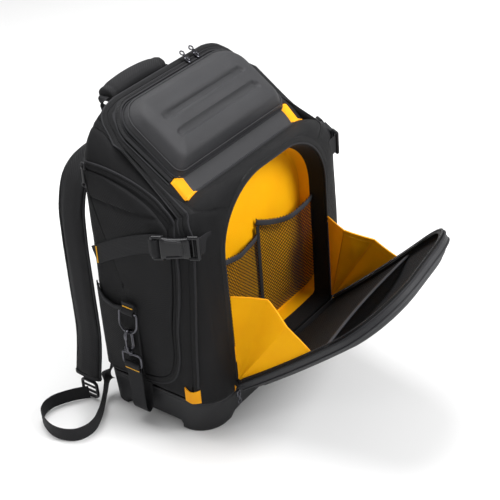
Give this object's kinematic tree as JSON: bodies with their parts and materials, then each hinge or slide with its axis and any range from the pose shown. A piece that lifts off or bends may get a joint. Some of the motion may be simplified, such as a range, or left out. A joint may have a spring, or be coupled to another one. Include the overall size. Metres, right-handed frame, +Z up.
{
  "type": "tool backpack",
  "caption": "Black tool backpack on a moulded boot, front door open on yellow folding gussets, mesh pockets inside.",
  "frame": {"origin": "centre of the boot's flat underside, on the floor", "axes": "+Z up, -Y towards the front door, +Y towards the wearer's back, +X right seen from the front"},
  "size_m": [0.5295, 0.5401, 0.5199],
  "materials": {
    "fabric": "coarse black woven cloth",
    "soft_fabric": "dark padded cloth",
    "moulded": "moulded foam under fine dark grey cloth",
    "rubber": "matt moulded rubber",
    "yellow_cloth": "yellow woven lining",
    "mesh": "black net",
    "webbing": "black ribbed webbing",
    "plastic": "black moulded plastic",
    "black_metal": "black coated steel",
    "steel": "satin plated steel"
  },
  "bodies": {
    "bag": {"base_boot": "rubber", "main_shell": "fabric", "front_shell": "fabric", "main_zip": "webbing", "zip_tab_left": "yellow_cloth", "zip_tab_right": "yellow_cloth", "front_pocket": "yellow_cloth", "mesh_pocket_left": "mesh", "mesh_pocket_right": "mesh", "front_door": "moulded", "door_zip": "webbing", "door_pocket": "mesh", "rim_zip": "webbing", "rim_tab_left": "yellow_cloth", "rim_tab_right": "yellow_cloth", "gusset_left": "yellow_cloth", "gusset_right": "yellow_cloth", "top_lid": "moulded", "lid_zip": "webbing", "hinge_strip": "soft_fabric", "strip_tab_left": "yellow_cloth", "strip_tab_right": "yellow_cloth", "side_zip_left": "webbing", "side_zip_right": "webbing", "side_panel_left": "fabric", "side_panel_right": "fabric", "side_pocket_left": "fabric", "side_strap_left": "webbing", "buckle_left": "plastic", "buckle_strap_left": "webbing", "side_pocket_right": "fabric", "side_strap_right": "webbing", "buckle_right": "plastic", "buckle_strap_right": "webbing", "ring_tab": "webbing", "d_ring": "steel", "snap_hook": "black_metal", "hook_strap": "webbing", "back_pad_left": "soft_fabric", "back_pad_right": "soft_fabric", "strap_yoke": "fabric", "shoulder_pad_left": "soft_fabric", "shoulder_pad_right": "soft_fabric", "ladder_lock_left": "plastic", "lower_web_left": "webbing", "ladder_lock_right": "plastic", "lower_web_right": "webbing", "haul_grip": "soft_fabric", "haul_web_left": "webbing", "haul_web_right": "webbing", "haul_ring": "steel", "haul_tab": "webbing", "front_pull": "steel", "lid_pull_left": "steel", "lid_pull_right": "steel", "side_pull_left": "plastic", "side_pull_right": "plastic"},
    "gate": {"hook_gate": "steel"}
  },
  "joints": [
    {"name": "hook_gate_hinge", "type": "hinge", "parent": "bag", "child": "gate", "pos_m": [-0.22146, 0.015, 0.15409], "axis": [0, 1, 0], "range_deg": [0, 20]}
  ]
}
